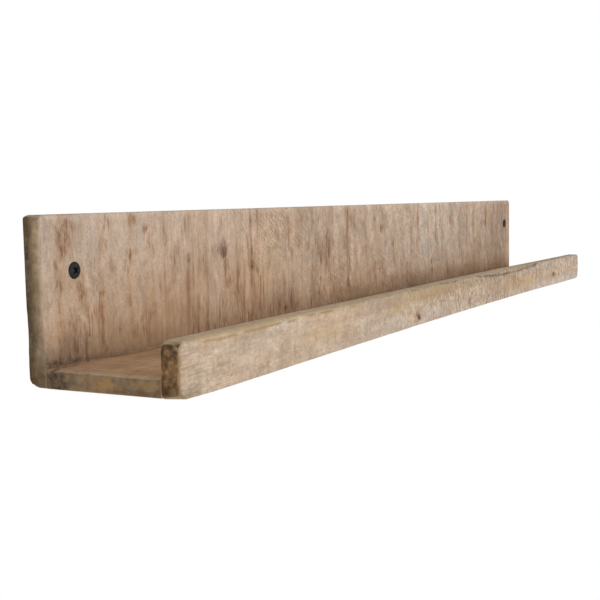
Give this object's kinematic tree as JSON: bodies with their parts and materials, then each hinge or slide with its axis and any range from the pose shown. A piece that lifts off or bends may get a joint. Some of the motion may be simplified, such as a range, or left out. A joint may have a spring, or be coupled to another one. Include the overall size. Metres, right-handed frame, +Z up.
{
  "type": "picture ledge",
  "caption": "Wall-hung picture ledge of rough-sawn boards: a tall back board, a shelf board butted to its face and a low front lip, with pan-head wall screws near the ends.",
  "frame": {"origin": "middle of the back board's wall face: mid-length, mid-height, on the wall plane", "axes": "+X along the ledge to the right seen from the room, +Y into the wall, +Z up; the front faces -Y"},
  "size_m": [0.9, 0.125, 0.1001],
  "materials": {
    "back_wood": "matt, rough-sawn",
    "shelf_wood": "matt, planed",
    "lip_wood": "matt, rough-sawn",
    "black_screw": "satin black",
    "zinc_steel": "zinc plated",
    "brad_steel": "wood-tone lacquer, dull",
    "brad_rust": "lacquer gone, rusted dark brown"
  },
  "bodies": {
    "root": {"back_board": "back_wood", "shelf_board": "shelf_wood", "front_lip": "lip_wood", "wall_screw_left": "black_screw", "wall_screw_right": "black_screw", "rear_screw_1": "zinc_steel", "rear_screw_2": "zinc_steel", "rear_screw_3": "zinc_steel", "rear_screw_4": "zinc_steel", "rear_screw_5": "zinc_steel", "lip_brad_1": "brad_steel", "lip_brad_2": "brad_steel", "lip_brad_3": "brad_rust", "lip_brad_4": "brad_steel", "lip_brad_5": "brad_steel", "lip_brad_6": "brad_steel"}
  },
  "joints": []
}
